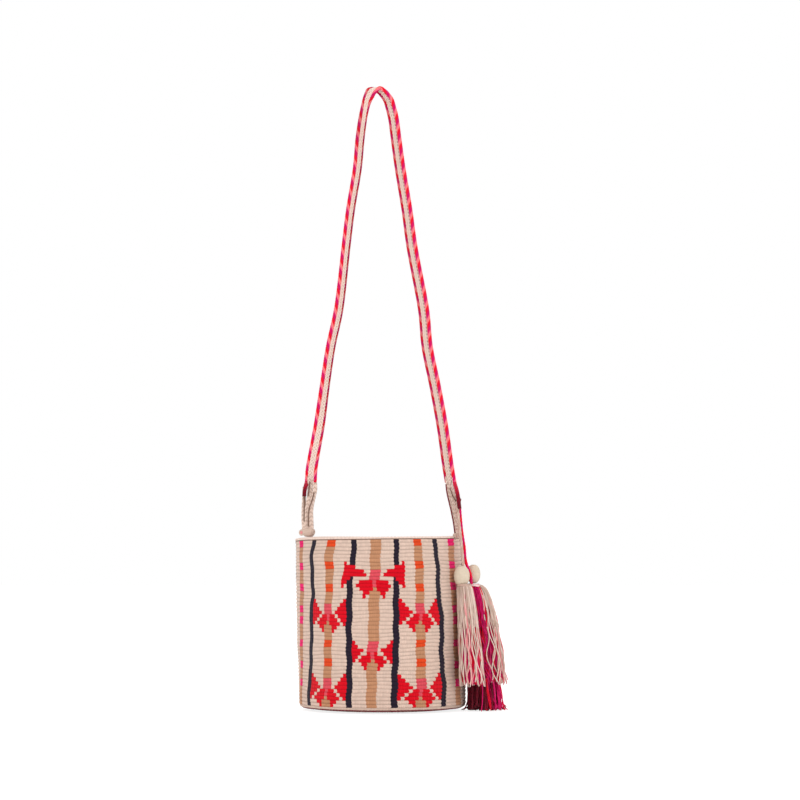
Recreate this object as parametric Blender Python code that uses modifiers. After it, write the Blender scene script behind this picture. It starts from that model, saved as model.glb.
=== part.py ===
"""Wayuu mochila: a crocheted bucket bag with a woven shoulder strap and two tassels.

Run with: blender --background --python part.py
Lengths are in metres, +Z is up, the front of the bag faces -Y, and the origin is the centre of its base.
Angles around the bag are in degrees from the front, positive towards +X.
"""

import math

import bmesh
import bpy
from mathutils import Vector

# Bag body
BAG_HEIGHT = 0.200
RIM_RADIUS = 0.0963
BELLY_RADIUS = 0.0980
FOOT_RADIUS = 0.0982
WALL = 0.0042
BASE_THICKNESS = 0.0045
FOOT_ROUNDING = 0.0050
EDGE_HEIGHT = 0.0032
RIDGE = 0.0007

# Crochet: rounds from the rim down, stitches round the wall
ROWS = 46
FIRST_BASE_ROW = 45
PANELS = 11
NAVY_STITCHES = 2
FIELD_STITCHES = 5
STRIPE_STITCHES = 3
PANEL_STITCHES = NAVY_STITCHES + FIELD_STITCHES + STRIPE_STITCHES + FIELD_STITCHES
STITCHES = PANELS * PANEL_STITCHES
PANEL_KINDS = "CABACABAABA"
FIRST_STRIPE_ANGLE = -70.6

# Rounds shown on the underside
CENTRE_DISC = 0.012
BASE_ROUNDS = 5
BASE_GROOVE = 0.0016
BASE_GROOVE_DEPTH = 0.0006

# Strap
STRAP_WIDTH = 0.0170
STRAP_EDGE = 0.0050
STRAP_WEB = 0.0040
STRAP_VALLEY = 0.0026
STRAP_END_HEIGHT = 0.2620
STRAP_TOP_HEIGHT = 0.7216
STRAP_TOP = (-0.0054, -0.0150)
LEFT_END_X = -0.0802
RIGHT_END_X = 0.0803
LEFT_EAR_ANGLE = -62.0
RIGHT_EAR_ANGLE = 69.0
TOP_EDGE = (0.60, -0.80)
RIGHT_EDGE = (0.71, -0.70)
SPAN_STEPS = 1
COLOUR_RUN = 3
# Share of the strap's height, how far each leg stands out as a share of its lower end, and where the
# left leg's inner edge points, which turns away from the front between its ends
LEG_SHAPE = (
    (0.000, 1.000, 1.000, 0.80, -0.60),
    (0.043, 0.979, 0.963, 0.80, -0.35),
    (0.142, 0.873, 0.890, 0.75, 0.25),
    (0.241, 0.789, 0.795, 0.60, 0.70),
    (0.341, 0.698, 0.688, 0.56, 0.80),
    (0.441, 0.590, 0.635, 0.56, 0.80),
    (0.590, 0.483, 0.488, 0.56, 0.80),
    (0.691, 0.406, 0.414, 0.56, 0.80),
    (0.791, 0.299, 0.327, 0.56, 0.80),
    (0.866, 0.256, 0.272, 0.56, 0.75),
    (0.921, 0.212, 0.234, 0.54, 0.45),
    (0.953, 0.173, 0.193, 0.54, 0.10),
    (0.970, 0.144, 0.165, 0.55, -0.30),
    (0.985, 0.103, 0.110, 0.57, -0.60),
    (0.993, 0.076, 0.067, 0.58, -0.75),
)

# Rolled tabs on the rim and the crocheted end cords above them
TAB_RADIUS = 0.0051
TAB_LENGTH = 0.0170
END_CORD = 0.0036
END_CORD_SPREAD = 0.0058
END_CORD_BOW = 0.0006
END_CORD_LEAD = 0.0080

# Tassels
KNOT_RADIUS = 0.0032
KNOT_HEIGHT = 0.2420
TASSEL_CORD = 0.0030
BALL_RADIUS = 0.0087
BALL_HALF_HEIGHT = 0.0115
BALL_CENTRE_HEIGHT = 0.1570
TIE_RADIUS = 0.0065
TIE_HEIGHT = 0.0037
SKIRT_WALL = 0.0030
SKIRT_HEM_HEIGHT = 0.0250
SKIRT_SHOULDER = 0.0090
FLUTES = 11
FLUTE_DEPTH = 0.055
SKIRT_POINTS = 2 * FLUTES
CORE_POINTS = 14
CORE_MARGIN = 0.0008
REAR_CORE_HEM_HEIGHT = 0.0008
# Name, neck angle, neck gap to the wall, foot angle, foot gap, hem half sizes out from the wall and along it
TASSELS = (
    ("front", 60.6, 0.0012, 61.0, 0.0012, 0.0152, 0.0155),
    ("rear", 71.5, 0.0070, 80.9, 0.0016, 0.0230, 0.0235),
)

# The gap left between pieces that touch
SEAT = 0.0003

# Colours as 8-bit screen values
CREAM = (219, 197, 176)
TAN = (191, 146, 99)
NAVY = (36, 33, 52)
RED = (222, 8, 24)
ORANGE = (235, 76, 24)
HOT_PINK = (228, 6, 104)
STEM_PINK = (214, 72, 92)
MAROON = (120, 22, 40)
MAGENTA = (202, 10, 84)

# Which coloured rounds each kind of stripe has, and where its figures start
ORANGE_ROWS = (0, 1, 6, 7, 12, 13, 27, 28, 32, 33)
PINK_ROWS = (0, 1, 6, 7, 12, 13, 18, 19, 21, 22, 27, 28, 32, 33, 38, 39)
# Steps of the red figures, in stitches: triangles by width, petals and wings from and to
TRIANGLE = (1, 2, 3, 4, 3, 2, 1)
WIDE_TRIANGLE = (1, 2, 3, 5, 3, 2, 1)
PETALS = ((1, 2), (1, 3), (1, 4), (2, 3), (2, 2))
WIDE_PETALS = ((1, 5), (1, 6), (1, 5), (2, 4), (3, 3))
SHORT_PETALS = ((1, 1), (1, 3), (1, 4), (2, 3), (2, 2))
WINGS = ((-4, -4), (-4, -1), (-4, 1), (-4, 2), (-4, -2), (-4, -3), (-4, -4))
STEM_ROWS = 3
STEM_IN_PETALS = 2

# Routes of the two tassel cords, from the knot down
FRONT_CORD = (
    (0.0876, -0.0432, 0.2385),
    (0.0879, -0.0437, 0.2330),
    (0.0884, -0.0444, 0.2270),
    (0.0890, -0.0452, 0.2205),
    (0.0897, -0.0461, 0.2140),
    (0.0904, -0.0471, 0.2075),
    (0.0911, -0.0481, 0.2010),
    (0.0917, -0.0491, 0.1950),
    (0.0923, -0.0501, 0.1890),
    (0.0928, -0.0510, 0.1835),
    (0.0933, -0.0518, 0.1780),
    (0.0936, -0.0524, 0.1740),
    (0.0938, -0.0527, 0.1715),
    (0.0939, -0.0529, 0.1698),
    (0.0940, -0.0530, 0.1688),
)
REAR_CORD = (
    (0.0900, -0.0408, 0.2385),
    (0.0905, -0.0412, 0.2330),
    (0.0909, -0.0417, 0.2270),
    (0.0914, -0.0422, 0.2205),
    (0.0920, -0.0427, 0.2140),
    (0.0926, -0.0432, 0.2075),
    (0.0935, -0.0436, 0.2010),
    (0.0944, -0.0439, 0.1950),
    (0.0954, -0.0442, 0.1890),
    (0.0966, -0.0446, 0.1830),
    (0.0978, -0.0451, 0.1770),
    (0.0992, -0.0457, 0.1710),
    (0.1007, -0.0463, 0.1650),
    (0.1023, -0.0467, 0.1595),
    (0.1030, -0.0463, 0.1540),
    (0.1033, -0.0451, 0.1495),
    (0.1036, -0.0441, 0.1460),
    (0.1038, -0.0434, 0.1432),
)


def clear_scene():
    for obj in list(bpy.data.objects):
        bpy.data.objects.remove(obj, do_unlink=True)


def linear(value):
    share = value / 255
    if share <= 0.04045:
        return share / 12.92
    return ((share + 0.055) / 1.055) ** 2.4


def yarn(name, colour, roughness=0.85):
    """Cotton yarn in one colour, or the one already made."""
    material = bpy.data.materials.get(name)
    if material:
        return material
    material = bpy.data.materials.new(name)
    material.use_nodes = True
    shader = material.node_tree.nodes["Principled BSDF"]
    rgba = (*(linear(value) for value in colour), 1.0)
    shader.inputs["Base Color"].default_value = rgba
    shader.inputs["Roughness"].default_value = roughness
    shader.inputs["Metallic"].default_value = 0.0
    material.diffuse_color = rgba
    return material


def add_object(name, data, *materials):
    obj = bpy.data.objects.new(name, data)
    bpy.data.collections[COLLECTION].objects.link(obj)
    for material in materials:
        data.materials.append(material)
    return obj


def mesh_from(name, bm, *materials):
    mesh = bpy.data.meshes.new(name)
    bm.to_mesh(mesh)
    bm.free()
    mesh.shade_smooth()
    return add_object(name, mesh, *materials)


def around(angle):
    """The outward direction at an angle from the front."""
    turn = math.radians(angle)
    return Vector((math.sin(turn), -math.cos(turn), 0.0))


def along(angle):
    """The direction along the wall at an angle from the front, towards larger angles."""
    turn = math.radians(angle)
    return Vector((math.cos(turn), math.sin(turn), 0.0))


def smooth_path(points, steps):
    """Catmull-Rom curve through the points, with this many steps a span."""
    points = [Vector(point) for point in points]
    ends = [2 * points[0] - points[1], *points, 2 * points[-1] - points[-2]]
    path = []
    for before, start, end, after in zip(ends, ends[1:], ends[2:], ends[3:]):
        for step in range(steps):
            t = step / steps
            path.append(
                0.5
                * (
                    2 * start
                    + (end - before) * t
                    + (2 * before - 5 * start + 4 * end - after) * t**2
                    + (3 * start - before - 3 * end + after) * t**3
                )
            )
    return [*path, points[-1]]


def tube(name, path, diameter, material):
    """A round cord with filled ends along the path."""
    curve = bpy.data.curves.new(name, "CURVE")
    curve.dimensions = "3D"
    curve.bevel_depth = diameter / 2
    curve.bevel_resolution = 2
    curve.use_fill_caps = True
    spline = curve.splines.new("POLY")
    spline.points.add(len(path) - 1)
    for point, place in zip(spline.points, path):
        point.co = (*place, 1.0)
    return add_object(name, curve, material)


def turned(name, profile, steps, material):
    """A profile of (radius, height), top to bottom, turned about its own Z axis."""
    bm = bmesh.new()
    points = [bm.verts.new((radius, 0.0, height)) for radius, height in profile]
    for above, below in zip(points, points[1:]):
        bm.edges.new((above, below))
    obj = mesh_from(name, bm, material)
    screw = obj.modifiers.new("turn", "SCREW")
    screw.steps = steps
    screw.render_steps = steps
    screw.use_merge_vertices = True
    screw.merge_threshold = 0.00001
    screw.use_smooth_shade = True
    return obj


def loft(name, rings, closed, *materials):
    """Skin the rings of points in order, with flat ends where closed."""
    bm = bmesh.new()
    loops = [[bm.verts.new(point) for point in ring] for ring in rings]
    count = len(rings[0])
    for lower, upper in zip(loops, loops[1:]):
        for i in range(count):
            j = (i + 1) % count
            bm.faces.new((lower[i], lower[j], upper[j], upper[i]))
    if closed:
        bm.faces.new(reversed(loops[0]))
        bm.faces.new(loops[-1])
    bm.normal_update()
    return mesh_from(name, bm, *materials)


def wall_radius(height):
    """Outer radius of the wall, a smooth curve through foot, belly and rim."""
    share = height / BAG_HEIGHT
    foot = FOOT_RADIUS * (1 - share) * (1 - 2 * share)
    belly = BELLY_RADIUS * 4 * share * (1 - share)
    rim = RIM_RADIUS * share * (2 * share - 1)
    return foot + belly + rim


def paint(chart, row, first, last, colour):
    for stitch in range(first, last + 1):
        chart[row][stitch % STITCHES] = colour


def paint_triangles(chart, row, start, widths):
    """A pair of stepped triangles that point inwards from the two navy lines."""
    field = start + NAVY_STITCHES
    end = start + PANEL_STITCHES - 1
    for step, width in enumerate(widths):
        paint(chart, row + step, field, field + width - 1, "red")
        paint(chart, row + step, end - width + 1, end, "red")


def paint_flower(chart, row, start, petals):
    """A pink stem over two petals that spread from the stripe's middle stitch."""
    stripe = start + NAVY_STITCHES + FIELD_STITCHES
    middle = stripe + STRIPE_STITCHES // 2
    for step in range(STEM_ROWS):
        paint(chart, row + step, stripe, stripe + STRIPE_STITCHES - 1, "stem_pink")
    for step, (near, far) in enumerate(petals):
        petal_row = row + STEM_ROWS + step
        paint(chart, petal_row, middle - far, middle - near, "red")
        paint(chart, petal_row, middle + near, middle + far, "red")
        if step < STEM_IN_PETALS:
            paint(chart, petal_row, middle, middle, "stem_pink")


def paint_wings(chart, row, start):
    """A pair of wings that lie over the navy lines and point to the stem."""
    field = start + NAVY_STITCHES
    end = start + PANEL_STITCHES - 1
    for step, (near, far) in enumerate(WINGS):
        paint(chart, row + step, field + near, field + far, "red")
        paint(chart, row + step, end - far, end - near, "red")


def stitch_chart():
    """Colour names by round and stitch: navy lines, striped columns and stepped figures on cream."""
    chart = [["cream"] * STITCHES for _ in range(ROWS)]
    for panel, kind in enumerate(PANEL_KINDS):
        start = panel * PANEL_STITCHES
        stripe = start + NAVY_STITCHES + FIELD_STITCHES
        for row in range(FIRST_BASE_ROW):
            colour = "tan"
            if kind == "A" and row in ORANGE_ROWS:
                colour = "orange"
            if kind == "C" and row in PINK_ROWS:
                colour = "hot_pink"
            paint(chart, row, start, start + NAVY_STITCHES - 1, "navy")
            paint(chart, row, stripe, stripe + STRIPE_STITCHES - 1, colour)
    for panel, kind in enumerate(PANEL_KINDS):
        start = panel * PANEL_STITCHES
        if kind == "A":
            for triangle_row, stem_row in ((16, 17), (36, 37)):
                paint_triangles(chart, triangle_row, start, TRIANGLE)
                paint_flower(chart, stem_row, start, PETALS)
        if kind == "B":
            paint_wings(chart, 6, start)
            paint_flower(chart, 8, start, WIDE_PETALS)
            paint_triangles(chart, 27, start, WIDE_TRIANGLE)
            paint_flower(chart, 28, start, SHORT_PETALS)
    return chart


def row_columns(colours):
    """The stitches where a face of this round starts: each panel's own lines and each change of colour."""
    fixed = (
        0,
        NAVY_STITCHES,
        NAVY_STITCHES + FIELD_STITCHES,
        NAVY_STITCHES + FIELD_STITCHES + STRIPE_STITCHES,
    )
    return [
        stitch
        for stitch in range(STITCHES)
        if stitch % PANEL_STITCHES in fixed or colours[stitch] != colours[stitch - 1]
    ]


def bag_bands():
    """The rings of the body as (radius, height), and the bands between them as (columns, colours)."""
    chart = stitch_chart()
    stripe_starts = (0, NAVY_STITCHES + FIELD_STITCHES)
    coarse_columns = [s for s in range(STITCHES) if s % PANEL_STITCHES in stripe_starts]
    coarse = (coarse_columns, ["cream"] * STITCHES)
    base_turn = wall_radius(FOOT_ROUNDING)
    rings = [(CENTRE_DISC, 0.0)]
    bands = []
    round_pitch = (base_turn - FOOT_ROUNDING - CENTRE_DISC) / BASE_ROUNDS
    for number in range(BASE_ROUNDS):
        inner = CENTRE_DISC + number * round_pitch
        rings.append((inner + BASE_GROOVE / 2, BASE_GROOVE_DEPTH))
        rings.append((inner + BASE_GROOVE, 0.0))
        rings.append((inner + round_pitch, 0.0))
        bands += [coarse] * 3
    row_height = (BAG_HEIGHT - EDGE_HEIGHT) / ROWS
    edge_row = chart[FIRST_BASE_ROW]
    edge = (row_columns(edge_row), edge_row)
    maroon = (edge[0], ["maroon"] * STITCHES)
    turn_share = 1 - math.sqrt(0.5)
    rings.append((base_turn - FOOT_ROUNDING * turn_share, FOOT_ROUNDING * turn_share))
    rings.append((wall_radius(row_height) - RIDGE, row_height))
    bands += [maroon, edge]
    for row in reversed(range(FIRST_BASE_ROW)):
        top = (ROWS - row) * row_height
        band = (row_columns(chart[row]), chart[row])
        rings.append((wall_radius(top - row_height / 2), top - row_height / 2))
        rings.append((wall_radius(top) - RIDGE, top))
        bands += [band] * 2
    inner_rim = RIM_RADIUS - WALL
    rings += [
        (RIM_RADIUS, BAG_HEIGHT - EDGE_HEIGHT * 0.5),
        (RIM_RADIUS - WALL * 0.35, BAG_HEIGHT),
        (RIM_RADIUS - WALL * 0.65, BAG_HEIGHT),
        (inner_rim, BAG_HEIGHT - EDGE_HEIGHT * 0.5),
    ]
    bands += [edge] * 4
    for share in (0.6, 0.25):
        height = BAG_HEIGHT * share
        rings.append((wall_radius(height) - WALL, height))
        bands.append(coarse)
    floor_radius = wall_radius(FOOT_ROUNDING) - WALL
    rings += [
        (floor_radius, BASE_THICKNESS + FOOT_ROUNDING * 0.6),
        (floor_radius - FOOT_ROUNDING * 0.6, BASE_THICKNESS),
    ]
    bands += [coarse] * 2
    return rings, bands


def bag_body():
    """The body, one piece of tapestry crochet: each round is a ridge, and faces follow the stitches' colours."""
    colours = {
        "cream": CREAM,
        "navy": NAVY,
        "tan": TAN,
        "orange": ORANGE,
        "hot_pink": HOT_PINK,
        "red": RED,
        "stem_pink": STEM_PINK,
        "maroon": MAROON,
    }
    slots = list(colours)
    rings, bands = bag_bands()
    bm = bmesh.new()
    stitch_angle = 360 / STITCHES
    first_angle = FIRST_STRIPE_ANGLE - stitch_angle * (
        NAVY_STITCHES + FIELD_STITCHES + STRIPE_STITCHES / 2
    )
    loops = []
    for number, (radius, height) in enumerate(rings):
        used = set()
        for columns, _ in bands[max(number - 1, 0) : number + 1]:
            used.update(columns)
        loop = {}
        for stitch in sorted(used):
            place = around(first_angle + stitch * stitch_angle) * radius
            loop[stitch] = bm.verts.new((place.x, place.y, height))
        loops.append(loop)
    for lower, upper, (columns, names) in zip(loops, loops[1:], bands):
        for start, end in zip(columns, [*columns[1:], columns[0] + STITCHES]):
            span = range(start, end + 1)
            low = [lower[s % STITCHES] for s in span if s % STITCHES in lower]
            high = [upper[s % STITCHES] for s in span if s % STITCHES in upper]
            face = bm.faces.new(low + high[::-1])
            face.material_index = slots.index(names[start])
    bm.faces.new(list(loops[0].values())[::-1])
    bm.faces.new(list(loops[-1].values()))
    bm.normal_update()
    materials = [yarn(f"crochet_{name}", colours[name]) for name in slots]
    return mesh_from("bag_body", bm, *materials)


def strap_section():
    """The band's outline as (across, out) pairs: a rope along each edge and a flat plait between."""
    rope = STRAP_EDGE / 2
    centre = STRAP_WIDTH / 2 - rope
    valley = STRAP_WIDTH / 2 - STRAP_EDGE
    right = [
        (centre + rope * math.cos(turn), rope * math.sin(turn))
        for turn in (math.radians(angle) for angle in (-100, -50, 0, 50, 100))
    ]
    upper = [(valley, STRAP_VALLEY / 2), (0.0, STRAP_WEB / 2), (-valley, STRAP_VALLEY / 2)]
    left = [(-across, -out) for across, out in right]
    lower = [(-across, -out) for across, out in upper]
    return right + upper + left + lower


def strap_path():
    """Control points of the strap's middle line, each with the direction of its front edge, left to right."""
    top = Vector((*STRAP_TOP, STRAP_TOP_HEIGHT))
    left = ear_place(LEFT_EAR_ANGLE)
    right = ear_place(RIGHT_EAR_ANGLE)
    left_end = Vector((LEFT_END_X, left.y, STRAP_END_HEIGHT))
    right_end = Vector((RIGHT_END_X, right.y, STRAP_END_HEIGHT))
    top_edge = Vector((*TOP_EDGE, 0.0))
    right_edge = Vector((*RIGHT_EDGE, 0.0))
    rising = []
    falling = []
    for share, left_reach, right_reach, edge_x, edge_y in LEG_SHAPE:
        place = left_end.lerp(top, share)
        place.x = top.x + (left_end.x - top.x) * left_reach
        rising.append((place, Vector((edge_x, edge_y, 0.0))))
        place = right_end.lerp(top, share)
        place.x = top.x + (right_end.x - top.x) * right_reach
        falling.append((place, right_edge.lerp(top_edge, share)))
    return [*rising, (top, top_edge), *reversed(falling)]


def strap_frames():
    """Points of the strap, each with its directions onwards, to the front edge and through the thickness."""
    control = strap_path()
    places = smooth_path([place for place, _ in control], SPAN_STEPS)
    edges = smooth_path([edge for _, edge in control], SPAN_STEPS)
    frames = []
    for number, (place, edge) in enumerate(zip(places, edges)):
        before = places[max(number - 1, 0)]
        after = places[min(number + 1, len(places) - 1)]
        forward = (after - before).normalized()
        frames.append((place, forward, edge, forward.cross(edge).normalized()))
    return frames


def strap():
    """The shoulder strap, one woven band that turns over at the top."""
    section = strap_section()
    rings = []
    for place, _, across, out in strap_frames():
        rings.append([place + across * a + out * o for a, o in section])
    slots = ("red", "magenta", "cream")
    colours = {"red": RED, "magenta": MAGENTA, "cream": CREAM}
    materials = [yarn(f"strap_{name}", colours[name]) for name in slots]
    obj = loft("strap", rings, True, *materials)
    sides = len(section)
    edge_faces = 4
    half = sides // 2
    for face in obj.data.polygons[: (len(rings) - 1) * sides]:
        station, side = divmod(face.index, sides)
        on_rope = side % half < edge_faces
        other_edge = side >= half
        run = (station // COLOUR_RUN + other_edge) % 2
        face.material_index = run if on_rope else 2
    return obj


def ear_place(angle):
    """The point on top of the rim where a strap end is sewn."""
    return around(angle) * (RIM_RADIUS - WALL / 2) + Vector((0, 0, BAG_HEIGHT))


def tab(name, angle):
    """The rolled tab that is sewn along the top of the rim."""
    half = TAB_LENGTH / 2
    profile = (
        (0.0, half),
        (TAB_RADIUS * 0.62, half * 0.97),
        (TAB_RADIUS * 0.93, half * 0.82),
        (TAB_RADIUS, half * 0.45),
        (TAB_RADIUS, -half * 0.45),
        (TAB_RADIUS * 0.93, -half * 0.82),
        (TAB_RADIUS * 0.62, -half * 0.97),
        (0.0, -half),
    )
    obj = turned(name, profile, 12, yarn("tab_cream", CREAM))
    obj.location = ear_place(angle) + Vector((0, 0, SEAT + TAB_RADIUS))
    obj.rotation_mode = "QUATERNION"
    obj.rotation_quaternion = along(angle).to_track_quat("Z", "Y")
    return obj


def end_cord_path(angle, frame, side, offset, bow):
    """A cord's line from the top of a tab to the end of the band, bowed out from its face."""
    place, forward, across, out = frame
    lowest = ear_place(angle) + Vector((0, 0, 2 * SEAT + 2 * TAB_RADIUS))
    lowest -= along(angle) * offset * side
    lead = Vector((0, 0, END_CORD_LEAD))
    highest = place + across * offset + forward * SEAT * side
    middle = (lowest + highest) / 2 + out * bow * side
    points = [
        lowest,
        lowest + lead,
        middle,
        highest + forward * END_CORD_LEAD * side,
        highest,
    ]
    return smooth_path(points, 1)


def end_cords(name, angle, frame, side):
    """The three crocheted cords between a tab and the end of the band."""
    material = yarn("end_cord_cream", CREAM)
    paths = []
    for number, place in enumerate((-1, 0, 1)):
        bow = END_CORD_BOW * (1 - 2 * abs(place))
        path = end_cord_path(angle, frame, side, place * END_CORD_SPREAD, bow)
        tube(f"{name}_end_cord_{number + 1}", path, END_CORD, material)
        paths.append(path)
    return paths


def knot(path, side):
    """The knot of the tassel cords, tied beside the front end cord of the right side."""
    for lower, upper in zip(path, path[1:]):
        if lower.z <= KNOT_HEIGHT <= upper.z:
            place = lower.lerp(upper, (KNOT_HEIGHT - lower.z) / (upper.z - lower.z))
    reach = Vector((side.x, side.y, 0.0)).normalized()
    place += reach * (END_CORD / 2 + SEAT + KNOT_RADIUS)
    bm = bmesh.new()
    bmesh.ops.create_uvsphere(bm, u_segments=10, v_segments=6, radius=KNOT_RADIUS)
    obj = mesh_from("tassel_knot", bm, yarn("knot_red", RED))
    obj.location = place
    return obj


def tassel_cords():
    """The two free cords that carry the tassels."""
    material = yarn("tassel_cord_red", RED)
    for name, route in (("front", FRONT_CORD), ("rear", REAR_CORD)):
        tube(f"tassel_cord_{name}", smooth_path(route, 1), TASSEL_CORD, material)


def tassel_axis(neck_angle, neck_gap, foot_angle, foot_gap, out_half):
    """The middle of a tassel at its neck and at its hem, both clear of the wall."""
    neck = around(neck_angle) * (BELLY_RADIUS + BALL_RADIUS + neck_gap)
    widest = out_half * (1 + FLUTE_DEPTH)
    foot = around(foot_angle) * (FOOT_RADIUS + widest + foot_gap)
    return neck, foot


def bundle_rings(neck, foot, foot_angle, levels, points, flutes):
    """Rings of a thread bundle: levels give height, share of the way down and the two half sizes."""
    rings = []
    for height, share, out_half, along_half in levels:
        centre = neck.lerp(foot, share) + Vector((0, 0, height))
        ring = []
        for number in range(points):
            turn = 2 * math.pi * number / points
            swell = 1 + FLUTE_DEPTH * math.cos(flutes * turn)
            outward = around(foot_angle) * out_half * math.sin(turn)
            sideways = along(foot_angle) * along_half * math.cos(turn)
            ring.append(centre + (outward + sideways) * swell)
        rings.append(ring)
    return rings


def skirt_levels(top, hem, neck_half, out_half, along_half):
    """Heights and half sizes of a tassel's skirt: a quick shoulder, then an even flare."""
    levels = []
    for share, shoulder, flare in (
        (0.00, 0.0, 0.00),
        (0.05, 1.0, 0.00),
        (0.20, 1.0, 0.20),
        (0.45, 1.0, 0.45),
        (0.75, 1.0, 0.78),
        (1.00, 1.0, 1.00),
    ):
        start = neck_half + (SKIRT_SHOULDER - neck_half) * shoulder
        levels.append(
            (
                top + (hem - top) * share,
                share,
                start + (out_half - start) * flare,
                start + (along_half - start) * flare,
            )
        )
    return levels


def tassel(name, neck_angle, neck_gap, foot_angle, foot_gap, out_half, along_half):
    """A crocheted ball, a tie below it, a skirt of cream threads and the coloured threads inside."""
    neck, foot = tassel_axis(neck_angle, neck_gap, foot_angle, foot_gap, out_half)
    bm = bmesh.new()
    bmesh.ops.create_uvsphere(bm, u_segments=14, v_segments=8, radius=BALL_RADIUS)
    tall = BALL_HALF_HEIGHT / BALL_RADIUS
    bmesh.ops.scale(bm, vec=(1, 1, tall), verts=bm.verts)
    ball = mesh_from(f"tassel_ball_{name}", bm, yarn("ball_cream", CREAM))
    ball.location = neck + Vector((0, 0, BALL_CENTRE_HEIGHT))

    tie_top = BALL_CENTRE_HEIGHT - BALL_HALF_HEIGHT - SEAT
    half = TIE_HEIGHT / 2
    profile = (
        (0.0, half),
        (TIE_RADIUS * 0.85, half),
        (TIE_RADIUS, half * 0.5),
        (TIE_RADIUS, -half * 0.5),
        (TIE_RADIUS * 0.85, -half),
        (0.0, -half),
    )
    tie = turned(f"tassel_tie_{name}", profile, 14, yarn("tie_pink", STEM_PINK))
    tie.location = neck + Vector((0, 0, tie_top - half))

    skirt_top = tie_top - TIE_HEIGHT - SEAT
    levels = skirt_levels(skirt_top, SKIRT_HEM_HEIGHT, TIE_RADIUS, out_half, along_half)
    rings = bundle_rings(neck, foot, foot_angle, levels, SKIRT_POINTS, FLUTES)
    skirt = loft(f"tassel_skirt_{name}", rings, False, yarn("skirt_cream", CREAM))
    solid = skirt.modifiers.new("threads", "SOLIDIFY")
    solid.thickness = SKIRT_WALL
    solid.offset = -1
    core(name, neck, foot, foot_angle, levels)


def core(name, neck, foot, foot_angle, levels):
    """The red threads inside the skirt; those of the rear tassel reach the floor and spread on it."""
    inset = SKIRT_WALL + CORE_MARGIN
    core_levels = []
    for height, share, out_half, along_half in levels:
        thin = 1 - FLUTE_DEPTH
        core_levels.append(
            (
                height - SEAT * (share == 0),
                share,
                (out_half * thin - inset) * thin,
                (along_half * thin - inset) * thin,
            )
        )
    core_levels[-1] = (SKIRT_HEM_HEIGHT + SEAT, *core_levels[-1][1:])
    if name == "rear":
        out_hem, along_hem = levels[-1][2:]
        core_levels[-1] = (SKIRT_HEM_HEIGHT, *core_levels[-1][1:])
        core_levels.append(
            (SKIRT_HEM_HEIGHT * 0.45, 1.0, out_hem * 0.90, along_hem * 0.95)
        )
        core_levels.append((REAR_CORE_HEM_HEIGHT, 1.0, out_hem * 0.94, along_hem * 1.05))
    rings = bundle_rings(neck, foot, foot_angle, core_levels, CORE_POINTS, CORE_POINTS // 2)
    loft(f"tassel_core_{name}", rings, True, yarn("core_magenta", MAGENTA))


COLLECTION = "wayuu_mochila_bag"


def main():
    clear_scene()
    collection = bpy.data.collections.new(COLLECTION)
    bpy.context.scene.collection.children.link(collection)
    bag_body()
    strap()
    frames = strap_frames()
    tab("left_tab", LEFT_EAR_ANGLE)
    tab("right_tab", RIGHT_EAR_ANGLE)
    end_cords("left", LEFT_EAR_ANGLE, frames[0], -1)
    right_cords = end_cords("right", RIGHT_EAR_ANGLE, frames[-1], 1)
    knot(right_cords[-1], frames[-1][2])
    tassel_cords()
    for measures in TASSELS:
        tassel(*measures)


main()
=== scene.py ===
"""Looks of the small crocheted mochila: stitches, plaits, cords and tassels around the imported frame."""

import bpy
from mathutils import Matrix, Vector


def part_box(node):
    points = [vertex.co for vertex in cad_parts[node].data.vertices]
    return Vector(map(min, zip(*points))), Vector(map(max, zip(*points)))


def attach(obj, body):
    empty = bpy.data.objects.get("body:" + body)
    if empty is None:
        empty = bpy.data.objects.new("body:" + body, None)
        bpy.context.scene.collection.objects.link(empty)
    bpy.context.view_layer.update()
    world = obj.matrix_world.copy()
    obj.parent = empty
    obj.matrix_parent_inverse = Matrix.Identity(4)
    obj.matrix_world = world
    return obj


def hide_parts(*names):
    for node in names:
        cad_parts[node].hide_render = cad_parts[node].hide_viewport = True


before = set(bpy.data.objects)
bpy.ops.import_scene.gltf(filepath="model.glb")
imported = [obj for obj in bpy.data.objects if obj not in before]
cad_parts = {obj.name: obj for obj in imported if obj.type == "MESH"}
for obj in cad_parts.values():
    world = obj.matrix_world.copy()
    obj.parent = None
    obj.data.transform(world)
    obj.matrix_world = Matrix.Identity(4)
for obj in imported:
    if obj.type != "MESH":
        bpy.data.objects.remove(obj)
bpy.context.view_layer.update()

import math
import random

import bpy
import numpy as np
from mathutils import Vector

BODY = "root"
RELIEF_INPUTS = ("Ridge", "Lump", "Uneven")

# Bag, in metres; rounds are counted from the rim down, stitches round the wall
BAG_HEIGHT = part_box("bag_body")[1][2]
RIM_RADIUS = 0.0952
BELLY_RADIUS = 0.0971
FOOT_RADIUS = 0.0968
WALL = 0.0042
FOOT_ROUNDING = 0.0060
EDGE_HEIGHT = 0.0030
SKIN = 0.0013
ROWS = 46
LAST_NAVY_ROW = 44
TURN_ROWS = 47
ROW_PITCH = (BAG_HEIGHT - EDGE_HEIGHT) / ROWS
PANEL_KINDS = "CABACABAABA"
NAVY_STITCHES = 2
FIELD_STITCHES = 5
STRIPE_STITCHES = 3
PANEL_STITCHES = NAVY_STITCHES + 2 * FIELD_STITCHES + STRIPE_STITCHES
STITCHES = PANEL_STITCHES * len(PANEL_KINDS)
STITCH_ANGLE = 360 / STITCHES
STRIPE_MIDDLE = NAVY_STITCHES + FIELD_STITCHES + STRIPE_STITCHES / 2
FIRST_ANGLE = -70.6 - STRIPE_MIDDLE * STITCH_ANGLE
BASE_ROUNDS = 21
BASE_REACH = 0.985
FLOOR_CLEARANCE = 0.0006

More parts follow.
